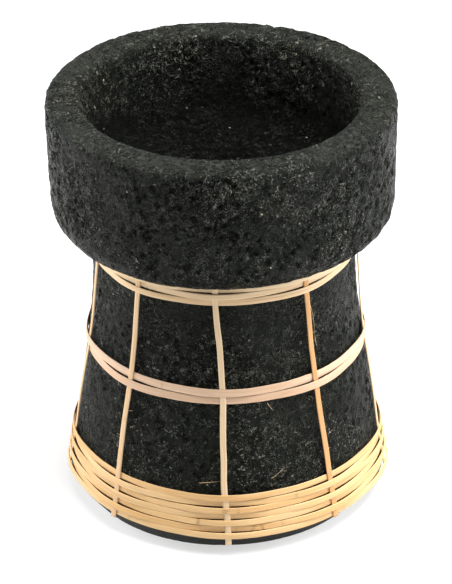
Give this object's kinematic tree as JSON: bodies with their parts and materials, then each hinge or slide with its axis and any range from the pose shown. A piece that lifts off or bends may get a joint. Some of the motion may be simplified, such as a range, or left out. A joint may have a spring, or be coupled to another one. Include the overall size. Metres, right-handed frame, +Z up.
{
  "type": "clay pot",
  "caption": "near-black coarse clay pot: a thick round bowl collar on a flaring hollow pedestal foot, bound with upright split-cane stakes and woven cane rows",
  "frame": {"origin": "centre of the plane the foot rests on, on the axis of the pot", "axes": "+Z up the axis of the pot to the mouth, -Y through the front stake, +X to the right seen from the front"},
  "size_m": [0.16, 0.16, 0.201],
  "materials": {
    "clay": "coarse matt, near-black",
    "cane": "raw split cane, satin",
    "pale_cane": "raw split cane, paler"
  },
  "bodies": {
    "root": {"pot_body": "clay", "stake_1": "cane", "stake_2": "cane", "stake_3": "cane", "stake_4": "cane", "stake_5": "cane", "stake_6": "cane", "stake_7": "cane", "stake_8": "cane", "stake_9": "cane", "top_weaver_1": "cane", "top_weaver_2": "cane", "top_weaver_3": "cane", "middle_weaver_1": "pale_cane", "middle_weaver_2": "pale_cane", "base_weaver_1": "cane", "base_weaver_2": "cane", "base_weaver_3": "cane", "base_weaver_4": "cane", "base_weaver_5": "cane", "base_weaver_6": "cane", "base_weaver_7": "cane"}
  },
  "joints": []
}
